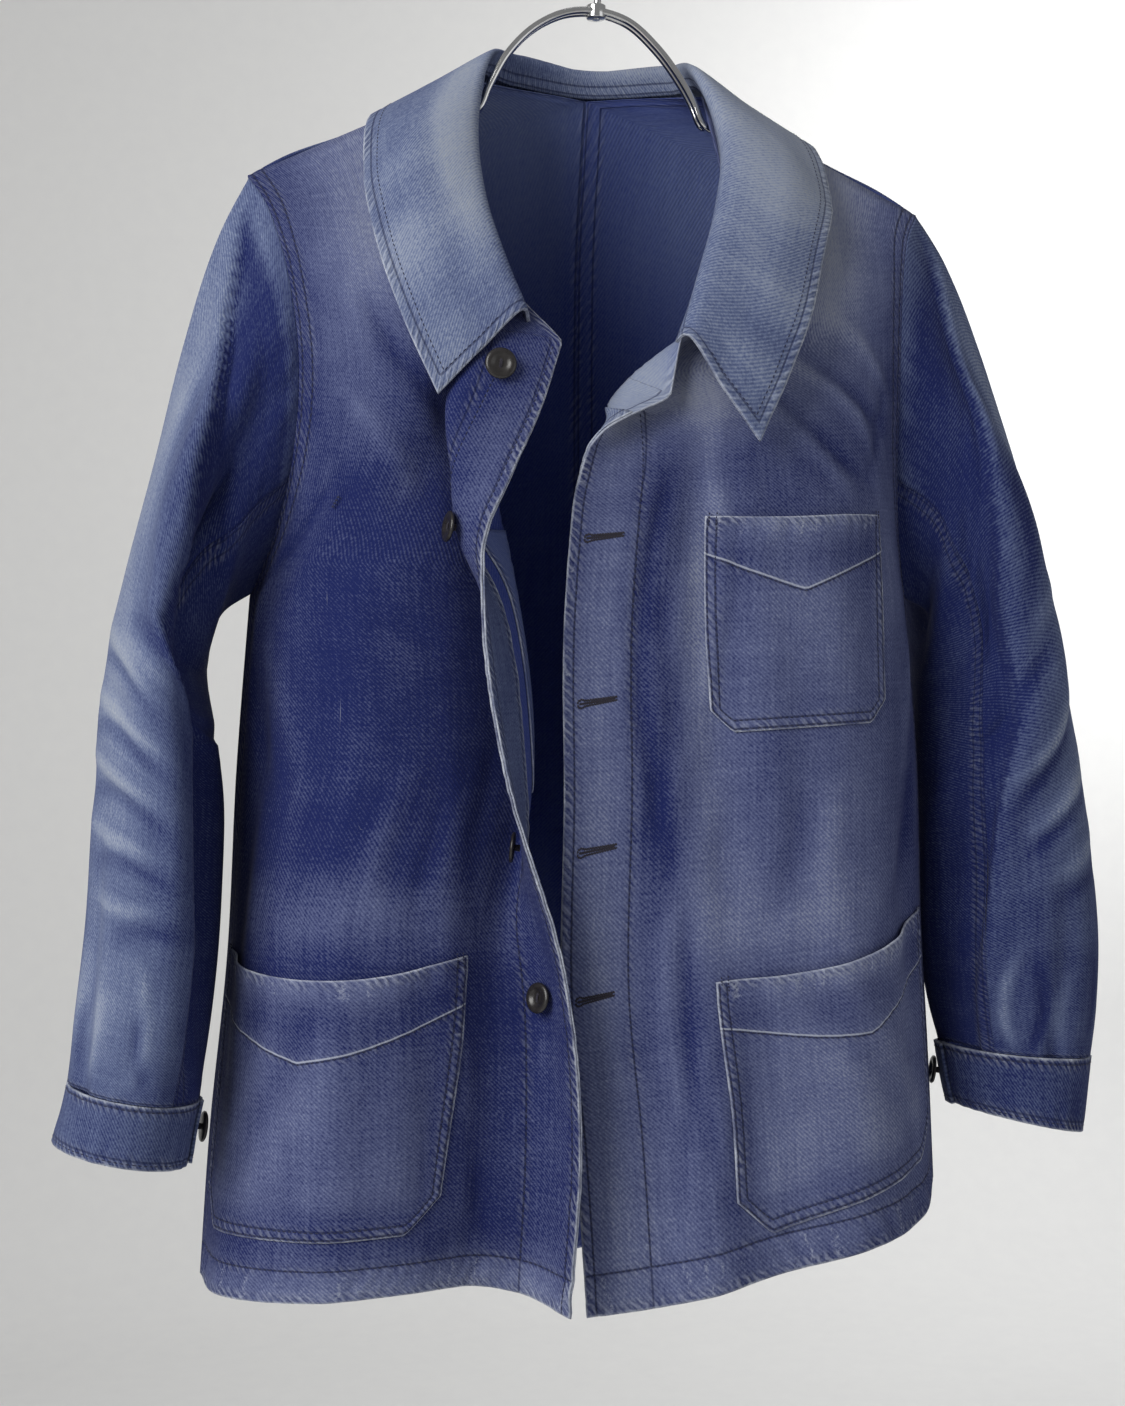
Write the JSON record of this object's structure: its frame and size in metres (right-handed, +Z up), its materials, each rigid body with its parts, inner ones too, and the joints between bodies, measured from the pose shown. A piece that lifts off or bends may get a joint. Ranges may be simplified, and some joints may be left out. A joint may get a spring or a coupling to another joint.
{
  "type": "chore jacket on a hanger",
  "caption": "Open-fronted blue cotton drill chore jacket with a turned-down collar and patch pockets, hanging on a chromed double wire hanger.",
  "frame": {"origin": "the point inside the top of the hanger's hook that bears on the rail", "axes": "+Z up; +X to the wearer's left, along the hanger's arms; +Y from the open front towards the back"},
  "size_m": [0.6944, 0.2245, 0.9071],
  "materials": {
    "drill": "faded indigo cotton drill, washed pale along edges and seams",
    "button": "dark moulded two-hole button, slightly glossy",
    "chrome": "bright chromed steel rod"
  },
  "bodies": {
    "root": {"front_right": "drill", "front_left": "drill", "back_right": "drill", "back_left": "drill", "facing_right": "drill", "facing_left": "drill", "pocket_inner": "drill", "sleeve_top_right": "drill", "sleeve_under_right": "drill", "sleeve_top_left": "drill", "sleeve_under_left": "drill", "cuff_right": "drill", "cuff_left": "drill", "collar_top": "drill", "collar_under": "drill", "pocket_chest": "drill", "pocket_right": "drill", "pocket_left": "drill", "hanger": "chrome", "button_1": "button", "button_2": "button", "button_3": "button", "button_4": "button", "button_5": "button", "cuff_button_right": "button", "cuff_button_left": "button"}
  },
  "joints": []
}
